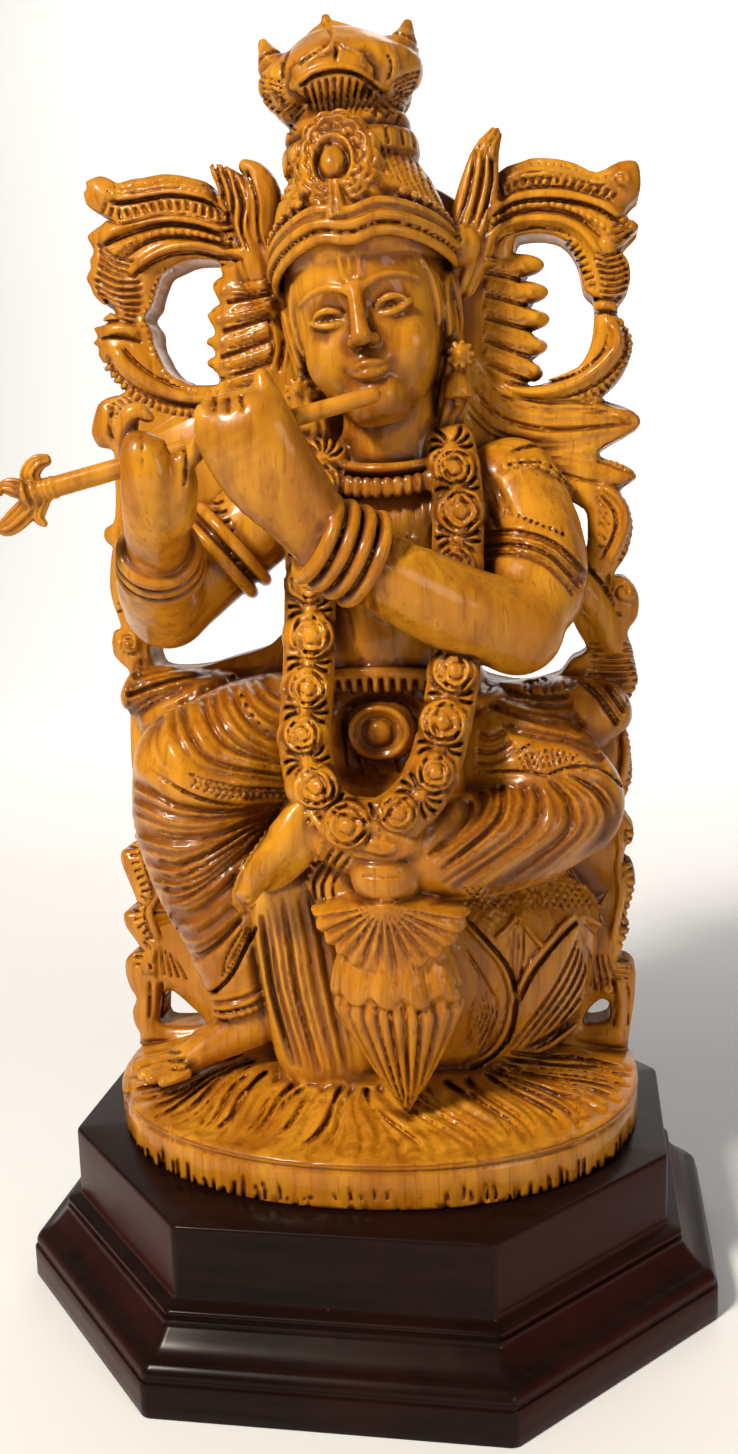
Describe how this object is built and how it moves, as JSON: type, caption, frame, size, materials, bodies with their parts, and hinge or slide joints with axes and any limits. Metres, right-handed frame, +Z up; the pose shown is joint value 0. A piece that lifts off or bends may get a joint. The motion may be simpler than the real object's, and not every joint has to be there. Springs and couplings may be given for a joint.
{
  "type": "krishna figure",
  "caption": "Carved wooden seated flute player with tall crown, garland and openwork surround on a lotus seat and oval base, standing on an octagonal moulded plinth.",
  "frame": {"origin": "centre of the plinth's underside, on the surface it stands on", "axes": "+Z up, the figure faces -Y, +X to the viewer's right seen from the front"},
  "size_m": [0.1924, 0.1784, 0.3419],
  "materials": {
    "plinth_lacquer": "very dark brown-black lacquer, satin gloss, reddish on the side faces",
    "figure_wood": "honey-gold varnished wood with dark brown wash in the recesses, fine vertical grain",
    "flute_wood": "lighter honey-gold varnished wood"
  },
  "bodies": {
    "root": {"plinth": "plinth_lacquer", "figure": "figure_wood", "flute": "flute_wood"}
  },
  "joints": []
}
